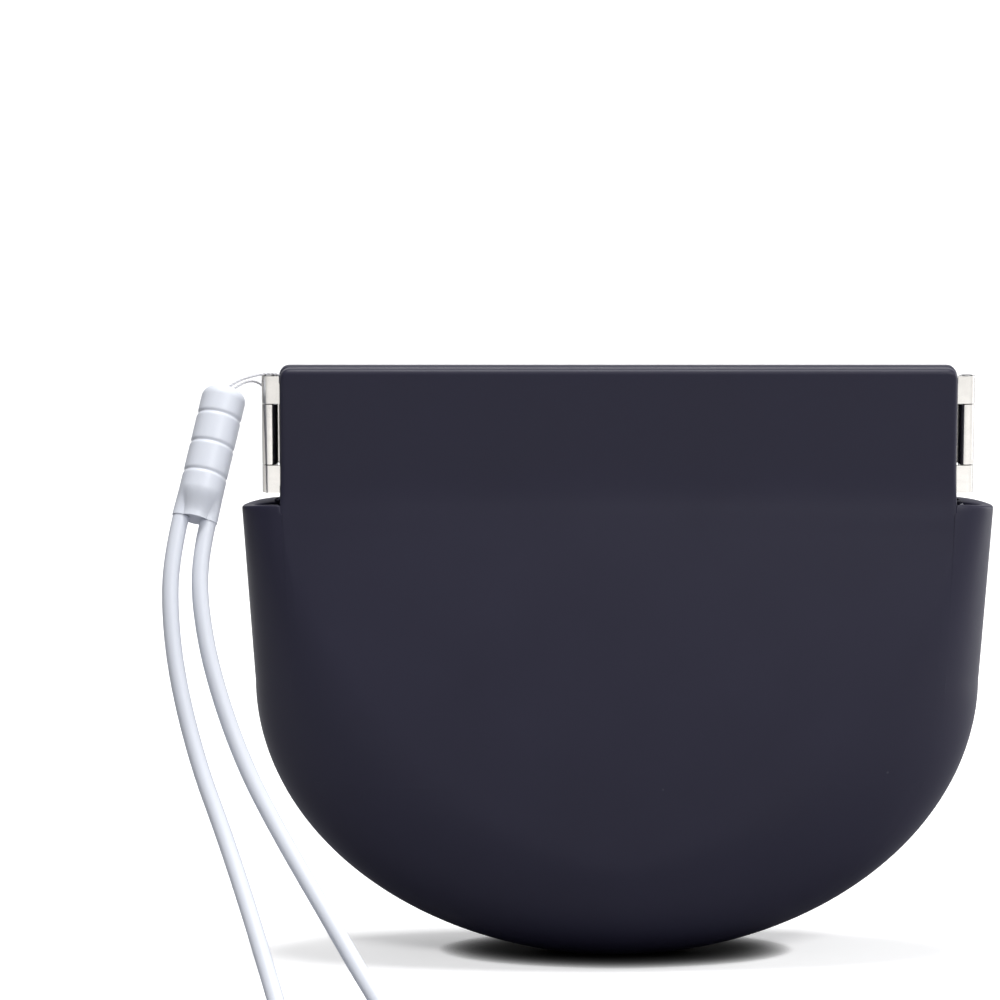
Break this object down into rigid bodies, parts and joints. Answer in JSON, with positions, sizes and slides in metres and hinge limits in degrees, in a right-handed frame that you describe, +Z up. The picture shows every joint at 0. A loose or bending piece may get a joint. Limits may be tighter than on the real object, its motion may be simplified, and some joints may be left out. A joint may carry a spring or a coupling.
{
  "type": "retainer case",
  "caption": "Soft silicone retainer pouch with a squeeze-open spring mouth and a wrist lanyard, standing upright.",
  "frame": {"origin": "centre of the pouch's base, on the surface that it stands on", "axes": "+Z up towards the mouth, front towards -Y, +X to the right, with the lanyard at -X"},
  "size_m": [0.1154, 0.1321, 0.0832],
  "materials": {
    "case_silicone": "matt silicone, dark charcoal navy",
    "spring_steel": "satin steel",
    "hinge_steel": "bright plated steel",
    "lanyard_silicone": "matt silicone, bluish white",
    "lanyard_thread": "twisted nylon thread, white"
  },
  "bodies": {
    "root": {"pouch_belly": "case_silicone"},
    "front_left": {"front_left_hem": "case_silicone", "front_left_wall": "case_silicone", "front_left_strip": "hinge_steel"},
    "front_middle": {"front_middle_hem": "case_silicone", "front_middle_wall": "case_silicone", "front_middle_strip": "spring_steel"},
    "front_right": {"front_right_hem": "case_silicone", "front_right_wall": "case_silicone", "front_right_strip": "hinge_steel"},
    "back_left": {"back_left_hem": "case_silicone", "back_left_wall": "case_silicone", "back_left_strip": "hinge_steel"},
    "back_middle": {"back_middle_hem": "case_silicone", "back_middle_wall": "case_silicone", "back_middle_strip": "spring_steel"},
    "back_right": {"back_right_hem": "case_silicone", "back_right_wall": "case_silicone", "back_right_strip": "hinge_steel"},
    "left_pin": {"left_hinge_pin": "hinge_steel"},
    "right_pin": {"right_hinge_pin": "hinge_steel"},
    "lanyard": {"thread_loop": "lanyard_thread", "lanyard_bead": "lanyard_silicone", "wrist_cord": "lanyard_silicone"}
  },
  "joints": [
    {"name": "mouth_squeeze", "type": "hinge", "parent": "root", "child": "front_left", "pos_m": [-0.04698, -0.00687, 0.0741], "axis": [0, 0, -1], "range_deg": [0, 25], "stiffness_Nm_per_rad": 0.12},
    {"name": "front_right_fold", "type": "hinge", "parent": "root", "child": "front_right", "pos_m": [0.04698, -0.00687, 0.0741], "axis": [0, 0, 1], "range_deg": [-0.5, 25.5]},
    {"name": "front_middle_slide", "type": "slide", "parent": "root", "child": "front_middle", "axis": [0, -1, 0], "range_m": [-0.0003, 0.01404]},
    {"name": "back_left_fold", "type": "hinge", "parent": "root", "child": "back_left", "pos_m": [-0.04698, 0.00687, 0.0741], "axis": [0, 0, 1], "range_deg": [-0.5, 25.5]},
    {"name": "back_right_fold", "type": "hinge", "parent": "root", "child": "back_right", "pos_m": [0.04698, 0.00687, 0.0741], "axis": [0, 0, -1], "range_deg": [-0.5, 25.5]},
    {"name": "back_middle_slide", "type": "slide", "parent": "root", "child": "back_middle", "axis": [0, 1, 0], "range_m": [-0.0003, 0.01404]},
    {"name": "left_pin_slide", "type": "slide", "parent": "root", "child": "left_pin", "axis": [1, 0, 0], "range_m": [-0.0001, 0.00314]},
    {"name": "right_pin_slide", "type": "slide", "parent": "root", "child": "right_pin", "axis": [-1, 0, 0], "range_m": [-0.0001, 0.00314]},
    {"name": "lanyard_swing", "type": "hinge", "parent": "left_pin", "child": "lanyard", "pos_m": [-0.0485, 0, 0.0823], "axis": [0, 0, 1], "range_deg": [-8, 20]}
  ],
  "couplings": [
    {"joint": "front_right_fold", "follows": "mouth_squeeze", "ratio": 1},
    {"joint": "front_middle_slide", "follows": "mouth_squeeze", "m_per_rad": 0.031478},
    {"joint": "back_left_fold", "follows": "mouth_squeeze", "ratio": 1},
    {"joint": "back_right_fold", "follows": "mouth_squeeze", "ratio": 1},
    {"joint": "back_middle_slide", "follows": "mouth_squeeze", "m_per_rad": 0.031478},
    {"joint": "left_pin_slide", "follows": "mouth_squeeze", "m_per_rad": 0.0069786},
    {"joint": "right_pin_slide", "follows": "mouth_squeeze", "m_per_rad": 0.0069786}
  ]
}
